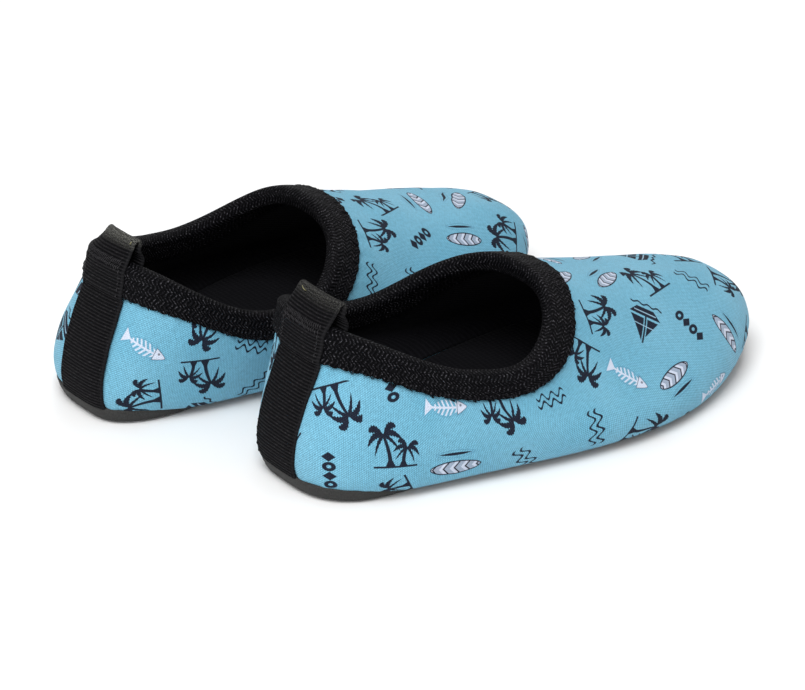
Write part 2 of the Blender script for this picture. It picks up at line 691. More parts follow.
def mat_lining(name="lining_jersey", dark=(0.0030, 0.0030, 0.0042), light=(0.0085, 0.0085, 0.0110), rib_w=1.0):
    g = Graph(name)
    U, V, vec = g.uv()
    rib = (U / rib_w * TAU).sin() * 0.5 + 0.5
    row = (V / (rib_w * 0.8) * TAU).sin() * 0.5 + 0.5
    n1 = g.noise(vec, 0.8, 3.0, 0.6)
    n3 = g.noise(vec, 3.0, 1.0, 0.5)
    lint = ((n3 - 0.70) * 12.0).clamp()
    col = g.mix(rib * 0.6 + row * 0.2 + (n1 - 0.5) * 0.5, dark, light)
    col = g.mix(lint * 0.25, col, (0.06, 0.06, 0.065))
    g.bump(rib * 0.6 + row * 0.3 + n3 * 0.2, 0.6, 0.00035)
    m = g.set(Base_Color=col, Roughness=0.86 + (n1 - 0.5) * 0.12)
    g.bsdf.inputs["Sheen Weight"].default_value = 0.01
    g.bsdf.inputs["Specular IOR Level"].default_value = 0.10
    return m


def mat_thread(name="black_thread", dark=(0.0025, 0.0025, 0.0035), light=(0.016, 0.015, 0.018)):
    g = Graph(name)
    n = g.nt.nodes.new("ShaderNodeTexCoord")
    v = n.outputs["Generated"]
    n1 = g.noise(v, 240.0, 2.0, 0.6)
    n2 = g.noise(v, 60.0, 1.0, 0.5)
    col = g.mix(((n1 - 0.45) * 3.0).clamp(), dark, light)
    g.bump(n1, 0.5, 0.0002)
    m = g.set(Base_Color=col, Roughness=0.55 + (n2 - 0.5) * 0.3)
    g.bsdf.inputs["Specular IOR Level"].default_value = 0.12
    return m


def mat_rubber():
    g = Graph("sole_rubber")
    U, V, vec = g.uv()
    fac, _ = g.attr("edge_wear")
    n1 = g.noise(vec, 0.35, 4.0, 0.65)
    n2 = g.noise(vec, 2.4, 3.0, 0.6)
    pits = g.noise(vec, 6.0, 1.0, 0.5)
    col = g.mix(n1, (0.012, 0.012, 0.012), (0.027, 0.027, 0.026))
    wear = (E(g, fac) * ((n2 - 0.35) * 2.4).clamp()).clamp()
    col = g.mix(wear * 0.6, col, (0.075, 0.074, 0.071))
    g.bump(n2 * 0.5 + pits * 0.5, 0.45, 0.0002)
    m = g.set(Base_Color=col, Roughness=0.62 + (n1 - 0.5) * 0.25 + wear * 0.15)
    g.bsdf.inputs["Specular IOR Level"].default_value = 0.20
    return m


def mat_cloth_board():
    g = Graph("bottom_cloth")
    U, V, vec = g.uv()
    n1 = g.noise(vec, 1.2, 4.0, 0.7)
    n2 = g.noise(vec, 0.2, 2.0, 0.5)
    dots = ((U / 1.6 * TAU).sin() * (V / 1.6 * TAU).sin()).max(0.0)
    col = g.mix(n1, (0.055, 0.055, 0.058), (0.105, 0.105, 0.110))
    col = g.mix(dots * 0.5, col, (0.03, 0.03, 0.032))
    g.bump(n1 * 0.6 - dots * 0.8, 0.5, 0.0003)
    return g.set(Base_Color=col, Roughness=0.8 + (n2 - 0.5) * 0.2)


M_UPPER = {"right": mat_upper(3), "left": mat_upper(11)}
M_BIND, M_LIN, M_THREAD, M_RUB, M_BOARD = mat_binding(), mat_lining(), mat_thread(), mat_rubber(), mat_cloth_board()
M_INSOLE = mat_lining("insole_cloth", (0.0022, 0.0022, 0.0032), (0.0065, 0.0065, 0.0085), 1.6)
M_BARTACK = mat_thread("bar_tack_thread", (0.008, 0.008, 0.010), (0.13, 0.125, 0.13))
M_THREAD_END = mat_thread("thread_end", (0.20, 0.19, 0.10), (0.34, 0.32, 0.18))

# ------------------------------------------------------------------ the shoe's soft pieces
NT = 420
T = np.arange(NT) / NT
LN = Lines(T)
TOPL = topline(T)
S_TOP = LN.s_from_top(np.array([CLOTH_IN]))
ARC_T = np.concatenate([[0], np.linalg.norm(np.diff(np.concatenate([TOPL, TOPL[:1]]), axis=0), axis=1).cumsum()])


def wave_field(P, seed):
    """Soft unevenness of stretched cloth, in mm."""
    return 0.32 * soft_noise(P, 34, seed) + 0.10 * soft_noise(P, 13, seed + 1)


def edge_pucker(d, arc, seed, pitch=5.4, depth=0.22, reach=3.6):
    """Small gathers where the cloth is caught by a seam; d is the distance from the seam in mm."""
    r = np.random.default_rng(seed)
    ph = r.uniform(0, TAU, 3)
    a = np.sin(TAU * arc / pitch + 0.8 * np.sin(TAU * arc / 31 + ph[0]) + ph[1]) + 0.4 * np.sin(TAU * arc / (pitch * 0.57) + ph[2])
    return depth * a * np.exp(-np.maximum(d, 0) / reach)


def upper_surface(seed, nv):
    """Outer skin of the upper: (NT, nv, 3) and the s values."""
    s0 = 0.006
    s = np.linspace(0, 1, nv)
    S = s0 + (S_TOP - s0) * s[None]
    P0 = LN.op(S, 0.0)
    full = LN.length()[:, None]
    arc = np.stack([np.interp(S[i], LN.s_tab, LN.arc[i]) for i in range(NT)])
    dtop = full - arc - BIND_W
    o = wave_field(P0, seed)
    # calm the unevenness at the seams
    o = o * smooth(arc / 9) * smooth((full - arc - 3) / 14)
    o = o + edge_pucker(dtop, ARC_T[:-1, None], seed + 5, 5.4, 0.20, 3.4) * smooth((full - arc) / 3 - 1)
    fe = np.linalg.norm(np.diff(np.concatenate([P0[:, 0], P0[:1, 0]]), axis=0), axis=1)
    arcf = np.concatenate([[0], fe.cumsum()])[:-1, None]
    o = o + edge_pucker(arc, arcf, seed + 9, 6.3, 0.16, 3.5) * smooth(arc / 1.5)
    o = o + 0.60 * np.exp(-((arc / 6.5) ** 2)) * smooth((P0[..., 0] - 8) / 18)
    # the binding and the tape press the cloth in
    o = o - 0.38 * smooth(1 - dtop / 0.8)
    heel = np.abs(P0[..., 1]) < 14
    press = smooth(1 - (np.abs(P0[..., 1]) - TAPE_W / 2 + 0.3) / 1.1) * heel * (P0[..., 0] < 30)
    o = o - 0.22 * press
    return LN.op(S, o), S, arc


def make_upper(side):
    nv = 84
    P, S, arc = upper_surface(21 if side == "right" else 57, nv)
    closed = np.concatenate([P, P[:1]])
    uv = unwrap(closed)
    c = uv.reshape(-1, 2).mean(0)
    uv = uv - c
    if side == "left":
        uv[..., 0] *= -1
        uv += np.array([7.3, 4.1])
    inner_s = np.linspace(1, 0, 26)
    s_in = 0.006 + (S_TOP - 0.006) * inner_s[None]
    Pin = LN.op(s_in, -UP_T)
    ring = np.concatenate([P, Pin], 1)
    n_all = nv + 26
    f, i, j = grid_faces(NT, n_all, True, True)
    u = np.zeros((NT + 1, n_all + 1))
    v = np.zeros((NT + 1, n_all + 1))
    u[:, :nv], v[:, :nv] = uv[..., 0], uv[..., 1]
    a_in = np.stack([np.interp(s_in[k % NT], LN.s_tab, LN.arc[k % NT]) for k in range(NT + 1)])
    u[:, nv:n_all] = 400 + ARC_T[:, None]
    v[:, nv:n_all] = a_in
    u[:, n_all], v[:, n_all] = u[:, n_all - 1], v[:, n_all - 1]
    guv = grid_uv(u, v, i, j)
    rim = (j == nv - 1) | (j == n_all - 1)
    guv[rim] = guv[rim][:, :1] * 0 + np.stack([u[i[rim], np.where(j[rim] == nv - 1, nv - 1, 0)], v[i[rim], np.where(j[rim] == nv - 1, nv - 1, 0)]], -1)[:, None]
    return build(side + "_upper", ring.reshape(-1, 3), [f], side, M_UPPER[side], {"MM": [guv]})


def make_lining(side):
    nv = 40
    s = np.linspace(0, 1, nv)
    S = 0.02 + (S_TOP - 0.025) * s[None]
    P0 = LN.op(S, -UP_T - 0.15)
    seed = 71 if side == "right" else 83
    dent = 0.25 * soft_noise(P0, 26, seed) * smooth(s / 0.2) * smooth((1 - s) / 0.3)
    outer = LN.op(S, -UP_T - 0.12)
    inner = LN.op(S, -UP_T - 0.15 - LIN_T - np.abs(dent))[:, ::-1]
    P = np.concatenate([outer, inner], 1)
    lens = LN.length().mean()
    v = np.concatenate([s * lens, s[::-1] * lens + 0.0, [s[0] * lens]])
    return torus(side + "_lining", P, side, M_LIN, ARC_T, v)


def band_profile(width_out=9.5, width_in=8.4, t=0.95, n=64):
    """Centre line and half thickness of the folded binding in the (d, o) plane: d down from the edge, o outward."""
    oo, ii = 0.12 + t / 2, -(UP_T + LIN_T + 0.32) - t / 2
    r = (oo - ii) / 2
    mid = (oo + ii) / 2
    top = CLOTH_IN + 0.3
    pts = [(d, oo) for d in np.linspace(width_out - 0.35, top, 22)]
    pts += [(top - 1.6 * math.sin(a), mid + r * math.cos(a)) for a in np.linspace(0, math.pi, 17)[1:-1]]
    pts += [(d, ii) for d in np.linspace(top, width_in - 0.35, 18)]
    return np.array(pts)


def make_binding(side):
    c = band_profile()
    tang = unit(np.gradient(c, axis=0))
    nrm = np.stack([tang[:, 1], -tang[:, 0]], 1) * -1
    leng = np.concatenate([[0], np.linalg.norm(np.diff(c, axis=0), axis=1).cumsum()])
    total = leng[-1]
    half = np.full(len(c), 0.47)
    # puffed between its edge stitches and the fold
    puff = 0.14 * np.sin(np.clip(leng / 9.0, 0, 1) * math.pi)
    top = half + puff
    endr = np.linspace(0, math.pi, 7)[1:-1]
    # outline: outside face, round end, inside face, round end
    loop, vv = [], []
    for k in range(len(c)):
        loop.append(c[k] + nrm[k] * top[k]); vv.append(leng[k])
    for a in endr:
        loop.append(c[-1] + nrm[-1] * half[-1] * math.cos(a) + tang[-1] * half[-1] * math.sin(a)); vv.append(total)
    for k in range(len(c) - 1, -1, -1):
        loop.append(c[k] - nrm[k] * half[k]); vv.append(leng[k])
    for a in endr:
        loop.append(c[0] - nrm[0] * half[0] * math.cos(a) - tang[0] * half[0] * math.sin(a)); vv.append(0)
    loop = np.array(loop)
    d = np.broadcast_to(loop[:, 0], (NT, len(loop))).copy()
    o = np.broadcast_to(loop[:, 1], (NT, len(loop))).copy()
    seed = 5 if side == "right" else 6
    arc = ARC_T[:-1, None]
    rs = np.random.default_rng(seed)
    ph = rs.uniform(0, TAU, 4)
    low = smooth((d - 5.5) / 4)
    # the lower edge is pulled in at every stitch; the whole band waves a little
    d = d + low * (0.20 * np.sin(TAU * arc / 2.7 + ph[0]) + 0.16 * np.sin(TAU * arc / 23 + ph[1]))
    outside = (loop[:, 1] > -1.7)[None]
    o = o + np.where(outside, 0.10 * np.sin(TAU * arc / 5.4 + ph[2]) * smooth((d - 1) / 5) + 0.12 * np.sin(TAU * arc / 37 + ph[3]), 0)
    P = LN.dop(d, o)
    return torus(side + "_topline_binding", P, side, M_BIND, ARC_T, np.array(vv + [vv[0]]), flip=True)


def make_binding_stitches(side):
    """Zigzag over the lower edge: legs sunk into the binding, a short spike on the cloth at every point."""
    rs = np.random.default_rng(31 if side == "right" else 32)
    total = ARC_T[-1]
    n = int(total / 5.4)
    arcs = (np.arange(n) + 0.5) * total / n + rs.uniform(-0.35, 0.35, n)
    keep = np.minimum(arcs, total - arcs) > 11.5
    arcs = arcs[keep]
    n = len(arcs)
    at = lambda a: Lines(np.interp(a, ARC_T, np.append(T, 1.0)))
    lines, norms = [], []
    tip = BIND_W + 0.95 + rs.uniform(-0.25, 0.35, n)
    for sgn in (-1, 1):
        k = np.linspace(0, 1, 6)
        pts, nn = [], []
        for v in k:
            a = arcs + sgn * 1.15 * (1 - v) ** 1.2 + 0.12 * sgn
            q = at(a)
            d = (7.3 + (tip - 7.3) * v)[:, None]
            o = 1.09 - 1.0 * smooth(np.array((d - BIND_W + 0.35) / 0.5))
            pts.append(q.dop(d, o))
            nn.append(q.normal(q.s_from_top(d)))
        lines.append(np.concatenate(pts, 1))
        norms.append(np.concatenate(nn, 1))
    return tubes(side + "_binding_stitching", np.concatenate(lines), np.concatenate(norms), 0.19, side, M_THREAD, 7)


# ------------------------------------------------------------------ heel tape and pull tab
def t_at_y(s, o, y):
    """Place around the heel where the surface at s, offset o, has the given y: arrays of one shape."""
    lo, hi = np.full(s.shape, -0.13), np.full(s.shape, 0.13)
    for _ in range(18):
        m = (lo + hi) / 2
        p = Lines(m.ravel()).op(s.reshape(-1, 1), o.reshape(-1, 1))[:, 0, 1].reshape(s.shape)
        up = p > y
        lo, hi = np.where(up, m, lo), np.where(up, hi, m)
    return (lo + hi) / 2


HEEL = Lines(np.array([0.0]))
HEEL_LEN, HEEL_ARC, HEEL_S = HEEL.length()[0], HEEL.arc[0], HEEL.s_tab


def surface_patch(ys, ds, o):
    """Grid (len(ys), len(ds), 3) on the heel at side positions ys and heights ds below the topline; o is (len(ds),) or a grid."""
    S = np.interp(HEEL_LEN - np.asarray(ds), HEEL_ARC, HEEL_S)
    S = np.broadcast_to(S, (len(ys), len(ds)))
    O = np.broadcast_to(o, S.shape)
    Y = np.broadcast_to(np.asarray(ys)[:, None], S.shape)
    t = t_at_y(S, O, Y)
    LL = Lines(t.ravel())
    P = LL.op(S.reshape(-1, 1), O.reshape(-1, 1))[:, 0].reshape(*S.shape, 3)
    N = LL.normal(S.reshape(-1, 1))[:, 0].reshape(*S.shape, 3)
    return P, N


TAB_LEAN = math.radians(30)


def make_tape(side):
    """Heel tape, loop and inner end as one folded strip, swept along its own path."""
    rs = np.random.default_rng(91 if side == "right" else 92)
    ny = 41
    ys = np.linspace(-TAPE_W / 2, TAPE_W / 2, ny)
    # outside run, sole to topline
    ds = np.linspace(HEEL_LEN - 0.4, 1.6, 70)
    base = 0.22 + 1.08 * smooth((10.4 - ds) / 1.6)
    Pa, Na = surface_patch(ys, ds, base)
    # inside run, topline down
    di = np.linspace(1.6, 9.0, 18)
    Pc, Nc = surface_patch(ys, di, -(UP_T + LIN_T + 0.32) - 1.12 + 0 * di)
    Nc = -Nc
    # loop above the topline: from the last outside point up, over and down to the first inside point
    a, c = Pa[:, -1], Pc[:, 0]
    flat = 0.0 if side == "right" else 1.0
    H = 9.6 - 0.6 * flat
    lean = TAB_LEAN + 0.10 * flat
    twist = np.linspace(-1, 1, ny)
    up = np.stack([np.sin(lean - 0.10 * twist), 0 * twist, np.cos(lean - 0.10 * twist)], -1)
    back = np.stack([-np.cos(lean - 0.10 * twist), 0 * twist, np.sin(lean - 0.10 * twist)], -1)
    mid = (a + c) / 2
    apex = np.stack([0.35 * a[:, 0] + 0.65 * mid[:, 0], ys * 0.985 + TYC[0] * 0 , mid[:, 2]], -1)
    k = np.linspace(0, 1, 46)[1:-1]
    loop = []
    for v in k:
        # height and half width of a narrow closed fold
        ang = v * math.pi
        h = H * (np.sin(ang) ** 0.55 if True else 1)
        w = 1.05 + 0.25 * math.sin(ang)
        side_w = math.cos(ang)
        body = apex + up * h + back * (w * np.sign(side_w) * abs(side_w) ** 0.5)
        blend_a = smooth(np.array(1 - v / 0.20))
        blend_c = smooth(np.array((v - 0.80) / 0.20))
        p = body * (1 - blend_a - blend_c) + (a + up * h * 0.9) * blend_a + (c + up * h * 0.9) * blend_c
        loop.append(p)
    loop = np.stack(loop, 1)
    path = np.concatenate([Pa, loop, Pc], 1)
    # even out the spacing along the strip
    n = 620
    out = np.empty((ny, n, 3))
    seg = np.linalg.norm(np.diff(path, axis=1), axis=2)
    al = np.concatenate([np.zeros((ny, 1)), seg.cumsum(1)], 1)
    mean_len = al[ny // 2, -1]
    for i in range(ny):
        for q in range(3):
            out[i, :, q] = np.interp(np.linspace(0, al[i, -1], n), al[i], path[i, :, q])
    ker = np.array([1, 4, 6, 4, 1.0]) / 16
    for _ in range(10):
        pad = np.concatenate([out[:, :1], out[:, :1], out, out[:, -1:], out[:, -1:]], 1)
        out = sum(pad[:, i:i + n] * ker[i] for i in range(5))
    tv = unit(np.gradient(out, axis=1))
    tu = unit(np.gradient(out, axis=0))
    nrm = unit(np.cross(tu, tv))
    mid_n = nrm[ny // 2, 5]
    if mid_n[0] > 0:
        nrm = -nrm
    along = np.linspace(0, mean_len, n)
    rib = 0.10 * np.cos(TAU * along / 0.95)[None, :] * smooth((TAPE_W / 2 - np.abs(ys) - 0.3) / 0.6)[:, None]
    wob = 0.10 * np.sin(TAU * along / 9.7 + rs.uniform(0, 6))[None, :]
    out[..., 1] += (np.sign(ys) * smooth((np.abs(ys) - 7) / 2))[:, None] * wob * 0.6
    fold = np.exp(-(((along - (HEEL_LEN - 1.6 + H)) / 5.5) ** 2))[None, :]
    out[..., 1] -= 0.115 * (out[..., 1] - out[ny // 2, :, 1][None]) * fold
    edge = smooth((TAPE_W / 2 - np.abs(ys)) / 0.5)[:, None]
    th = 0.42 * (0.55 + 0.45 * edge)
    front, rear = out + nrm * (th + rib)[..., None], out - nrm * (th + rib * 0.7)[..., None]
    # closed strip: front grid, rear grid, four borders
    V = np.concatenate([front.reshape(-1, 3), rear.reshape(-1, 3)])
    f1, i1, j1 = grid_faces(ny, n, False, False)
    Uu = np.broadcast_to(ys[:, None], (ny, n))
    Vv = np.broadcast_to(along[None], (ny, n))
    uv1 = grid_uv(Uu, Vv, i1, j1)
    off = ny * n
    f2, uv2 = f1[:, ::-1] + off, uv1[:, ::-1]
    idx = lambda i, j: i * n + j
    J = np.arange(n - 1)
    I = np.arange(ny - 1)
    b1 = np.stack([idx(0, J), idx(0, J + 1), idx(0, J + 1) + off, idx(0, J) + off], 1)
    b2 = np.stack([idx(ny - 1, J + 1), idx(ny - 1, J), idx(ny - 1, J) + off, idx(ny - 1, J + 1) + off], 1)
    b3 = np.stack([idx(I + 1, 0), idx(I, 0), idx(I, 0) + off, idx(I + 1, 0) + off], 1)
    b4 = np.stack([idx(I, n - 1), idx(I + 1, n - 1), idx(I + 1, n - 1) + off, idx(I, n - 1) + off], 1)
    bf = np.concatenate([b1, b2, b3, b4])
    flatU, flatV = np.concatenate([Uu.ravel()] * 2), np.concatenate([Vv.ravel()] * 2)
    buv = np.stack([flatU[bf], flatV[bf]], -1)
    test = front[ny // 2, 8] - rear[ny // 2, 8]
    fa = np.concatenate([f1, f2, bf])
    uva = np.concatenate([uv1, uv2, buv])
    e1 = V[f1[0, 1]] - V[f1[0, 0]]
    e2 = V[f1[0, 2]] - V[f1[0, 0]]
    if np.dot(np.cross(e1, e2), test) < 0:
        fa, uva = fa[:, ::-1], uva[:, ::-1]
    mat = mat_tape(side, HEEL_LEN - 1.6 + H, 1.0 if side == "left" else 0.35)
    ob = build(side + "_heel_tape", V, [fa], side, mat, {"MM": [uva]})
    return ob, out, nrm, al[ny // 2], ys, along


def make_tape_stitches(side, out, nrm, ys, along):
    """Straight stitch rows near both edges of the tape, below the binding."""
    lines, norms = [], []
    pitch, leng = 2.4, 1.6
    for row in (-8.55, 8.55):
        i = int(np.argmin(np.abs(ys - row)))
        a = 1.2
        stop = HEEL_LEN - 11.0
        while a < stop:
            js = [int(np.argmin(np.abs(along - (a + leng * q)))) for q in (0, 0.5, 1)]
            lines.append([out[i, j] + nrm[i, j] * h for j, h in zip(js, (0.38, 0.56, 0.38))])
            norms.append([nrm[i, j] for j in js])
            a += pitch
    return tubes(side + "_tape_stitching", np.array(lines), np.array(norms), 0.15, side, M_THREAD, 7)


def make_bar_tack(side, out, nrm, ys, along):
    """Rows of tight stitches across the foot of the loop and down both sides over the binding."""
    rs = np.random.default_rng(41 if side == "right" else 42)
    lines, norms = [], []
    top = HEEL_LEN - 0.3
    ny = len(ys)

    def pt(y, a, h):
        i = np.interp(y, ys, np.arange(ny))
        j = np.interp(a, along, np.arange(len(along)))
        i0, j0 = int(i), int(j)
        fi, fj = i - i0, j - j0
        i1, j1 = min(i0 + 1, ny - 1), min(j0 + 1, len(along) - 1)
        p = (out[i0, j0] * (1 - fi) + out[i1, j0] * fi) * (1 - fj) + (out[i0, j1] * (1 - fi) + out[i1, j1] * fi) * fj
        return p + nrm[i0, j0] * h, nrm[i0, j0]

    def stitch(y0, a0, y1, a1):
        p0, n0 = pt(y0, a0, 0.40)
        pm, nm = pt((y0 + y1) / 2, (a0 + a1) / 2, 0.66)
        p1, n1 = pt(y1, a1, 0.40)
        lines.append([p0, pm, p1])
        norms.append([n0, nm, n1])

    for lev in (-0.85, 0.55):
        y = -7.6
        while y < 7.6:
            j = rs.uniform(-0.22, 0.22)
            stitch(y, top + lev - 0.62 + j, y + 0.42, top + lev + 0.62 + j)
            y += 0.72 + rs.uniform(-0.1, 0.1)
    for row in (-7.7, 7.7):
        a = top - 1.4
        while a > top - 9.5:
            stitch(row + rs.uniform(-0.1, 0.1), a, row + rs.uniform(-0.15, 0.15), a - 1.25)
            a -= 1.75
    return tubes(side + "_bar_tack", np.array(lines), np.array(norms), 0.15, side, M_BARTACK, 7)


def make_thread_end(side, out, nrm, ys, along):
    """A loose end of thread at the side of the fold."""
    i = int(np.argmin(np.abs(ys - (3.8 if side == "right" else 8.2))))
    j = int(np.argmin(np.abs(along - (HEEL_LEN - 1.6 + (8.6 if side == "right" else 7.6)))))
    p, n = out[i, j], nrm[i, j]
    side_v = unit(out[i, j] - out[i - 3, j])
    tip = [p + n * 0.42, p + n * 0.95 + side_v * 0.2, p + n * 1.25 + side_v * 0.7 + UP * 0.35, p + n * 1.15 + side_v * 1.2 + UP * 0.9]
    return tubes(side + "_thread_end", np.array([tip]), np.array([[UP * 0 + side_v] * 4]), 0.13, side, M_THREAD_END, 7)


# ------------------------------------------------------------------ sole, bottom cloth and insole
def layered(name, side, mat, n, levels, top_fn=None, bottom_fn=None, m=90, wear=False):
    """Solid of the sole's plan: levels are rings (inset, z above ground at zf offset), closed by station grids below and above.
    levels go from the bottom ring to the top ring."""
    t = np.arange(n) / n
    F = feather(t)
    nf = plan_out(feather(t - 1 / 96), feather(t + 1 / 96))
    rings = []
    for inset, z in levels:
        p = F - nf * np.broadcast_to(inset(t) if callable(inset) else inset, n)[:, None]
        zz = z(t, p[:, 0]) if callable(z) else zf(p[:, 0]) + z
        rings.append(np.stack([p[:, 0], p[:, 1], zz], -1))
    R = np.stack(rings, 1)
    nr = len(levels)
    verts = [R.reshape(-1, 3)]
    f, i, j = grid_faces(n, nr, True, False)
    peri = np.concatenate([[0], np.linalg.norm(np.diff(np.concatenate([F, F[:1]]), axis=0), axis=1).cumsum()])
    lev = np.concatenate([[0], np.linalg.norm(np.diff(R, axis=1), axis=2).mean(0).cumsum()])
    U = np.broadcast_to(peri[:, None], (n + 1, nr + 1))
    Vv = np.broadcast_to(np.append(lev, lev[-1])[None], (n + 1, nr + 1))
    quads, quv = [f], [grid_uv(U, Vv, i, j)]
    tris, tuv = [], []
    count = n * nr
    wears = [np.broadcast_to(np.sin(np.linspace(0, 1, nr) * math.pi)[None], (n, nr)).ravel()]
    half = n // 2
    for which, fn, flip in ((0, bottom_fn, False), (nr - 1, top_fn, True)):
        A = R[:, which]
        st = np.arange(1, half)
        lat, med = A[st], A[n - st]
        kk = np.linspace(0, 1, m + 1)
        G = lat[:, None] * (1 - kk[None, :, None]) + med[:, None] * kk[None, :, None]
        inner = G[:, 1:-1].copy()
        x, y = inner[..., 0], inner[..., 1]
        edge = np.minimum(kk[1:-1], 1 - kk[1:-1])[None] * np.linalg.norm(lat - med, axis=1)[:, None]
        ends = np.minimum(x - A[0, 0], A[half, 0] - x)
        w = smooth(np.minimum(edge, ends) / 2.5)
        if fn is not None:
            inner[..., 2] = inner[..., 2] * (1 - w) + fn(x, y) * w
        verts.append(inner.reshape(-1, 3))
        wears.append(np.full(inner.shape[0] * inner.shape[1], 0.35))
        idx = np.empty((half - 1, m + 1), int)
        idx[:, 0] = st * nr + which
        idx[:, -1] = (n - st) * nr + which
        idx[:, 1:-1] = count + np.arange((half - 1) * (m - 1)).reshape(half - 1, m - 1)
        count += (half - 1) * (m - 1)
        q = np.stack([idx[:-1, :-1].ravel(), idx[:-1, 1:].ravel(), idx[1:, 1:].ravel(), idx[1:, :-1].ravel()], 1)
        c0, c1 = 0 * nr + which, half * nr + which
        t0 = np.stack([np.full(m, c0), idx[0, 1:], idx[0, :-1]], 1)
        t1 = np.stack([np.full(m, c1), idx[-1, :-1], idx[-1, 1:]], 1)
        tt = np.concatenate([t0, t1])
        if not flip:
            q_, t_ = q, tt[:, ::-1]
            q_ = q
        else:
            q_, t_ = q[:, ::-1], tt
        allv = np.concatenate(verts)
        # bottom faces look down, top faces look up
        e = np.cross(allv[q_[len(q_) // 2, 1]] - allv[q_[len(q_) // 2, 0]], allv[q_[len(q_) // 2, 2]] - allv[q_[len(q_) // 2, 0]])[2]
        if (e > 0) != flip:
            q_ = q_[:, ::-1]
        e = np.cross(allv[t_[m // 2, 1]] - allv[t_[m // 2, 0]], allv[t_[m // 2, 2]] - allv[t_[m // 2, 0]])[2]
        if (e > 0) != flip:
            t_ = t_[:, ::-1]
        quads.append(q_); quv.append(allv[q_][..., :2])
        tris.append(t_); tuv.append(allv[t_][..., :2])
    V = np.concatenate(verts)
    ob = build(name, V, quads + tris, side, mat, {"MM": quv + tuv})
    if wear:
        at = ob.data.attributes.new("edge_wear", "FLOAT", "POINT")
        at.data.foreach_set("value", np.concatenate(wears).astype(np.float32))
    return ob


def tread(x, y):
    """Underside height: wavy bars, with a plain oval at the heel and plain rubber near the bending line."""
    ph = (x + 1.6 * np.sin(TAU * y / 17)) / 7.0
    w = np.abs(ph - np.floor(ph) - 0.5) * 2
    g = smooth((w - 0.74) / 0.10)
    cross = smooth((np.abs((y / 15.5) - np.floor(y / 15.5) - 0.5) * 2 - 0.90) / 0.06)
    g = np.maximum(g, cross * 0.8)
    oval = smooth(((x - 34) / 15) ** 2 * 2 + (y / 10.5) ** 2 * 2 - 1.6)
    return zs(x) + 1.0 * g * oval


def make_outsole(side):
    n = 900
    heel = lambda t: np.exp(-((np.minimum(t, 1 - t) / 0.085) ** 2))
    bot = lambda dz: (lambda t, x: zs(x) + dz * zt(x) / OUTSOLE)
    lip = lambda base, extra: (lambda t, x: zf(x) + base + extra * 0.75 * heel(t))
    out = lambda a, b=0.0: (lambda t: a + b * heel(t) + sole_in(feather(t)[:, 0]))
    levels = [(out(3.2), bot(0.0)), (out(1.9), bot(0.0)), (out(1.25), bot(0.06)), (out(0.75), bot(0.28)), (out(0.35), bot(0.65)), (out(0.05), bot(1.15)), (out(-0.25), bot(1.9)), (out(-0.42, -0.25), bot(2.7)),
              (out(-0.48, -0.45), lip(-0.45, 0.5)), (out(-0.45, -0.80), lip(-0.12, 1.2)), (out(-0.30, -0.85), lip(-0.04, 1.65)), (out(-0.05, -0.55), lip(0.02, 1.80)), (out(0.25, -0.15), lip(0.0, 1.45)), (out(0.5, 0.1), lip(-0.05, 0.4)), (out(1.4), lip(-0.10, 0.0)), (out(3.0), lip(-0.12, 0.0))]
    return layered(side + "_outsole", side, M_RUB, n, levels, top_fn=lambda x, y: zf(x) - 0.12, bottom_fn=tread, m=110, wear=True)


def make_insole(side):
    z0, z1 = 1.05, 4.45
    ribs = lambda x, y: zf(x) + z1 + 0.35 - 0.8 * np.exp(-(y / 16) ** 2) * smooth(x / 20) + 0.09 * np.cos(TAU * (x + 0.3 * y) / 2.2)
    lv = [(5.2, z0), (4.2, z0), (3.9, z0 + 0.25), (3.75, z0 + 1.0), (3.75, z1 - 0.9), (3.85, z1 - 0.3), (4.2, z1 + 0.05), (4.9, z1 + 0.2)]
    return layered(side + "_insole", side, M_INSOLE, 360, lv, top_fn=ribs, m=60)


def make_strobel(side):
    z0, z1 = 0.10, 0.90
    # the edge turns up inside the cloth and closes the bottom of the upper
    lv = [(2.3, z0), (1.4, z0), (1.2, z0 + 0.2), (1.3, 1.2), (1.55, 2.0), (2.1, 2.5), (3.0, 2.6), (3.55, 2.3), (3.65, z1), (4.2, z1)]
    pucker = lambda zz: (lambda x, y: zf(x) + zz + 0.03 * np.sin(x * 1.9) * np.sin(y * 1.7))
    return layered(side + "_strobel_cloth", side, M_BOARD, 300, lv, top_fn=pucker(z1), bottom_fn=pucker(z0), m=40)


def make_strobel_stitches(side):
    n = 150
    t = (np.arange(n) + 0.5) / n
    F = feather(t)
    nf = plan_out(feather(t - 1 / 96), feather(t + 1 / 96))
    k = np.linspace(0, 1, 4)
    lines = np.stack([F - nf * (-0.10 + 1.35 * a) + UP * (0.16 - 0.16 * math.sin(a * math.pi)) for a in k], 1)
    norms = np.broadcast_to(UP, lines.shape).copy()
    return tubes(side + "_strobel_stitching", lines, norms, 0.20, side, M_THREAD, 7)


# ------------------------------------------------------------------ assembly
def row_point(side, x, y, z):
    return tuple(float(v) for v in place(side, np.array([[x, y, z]]))[0])


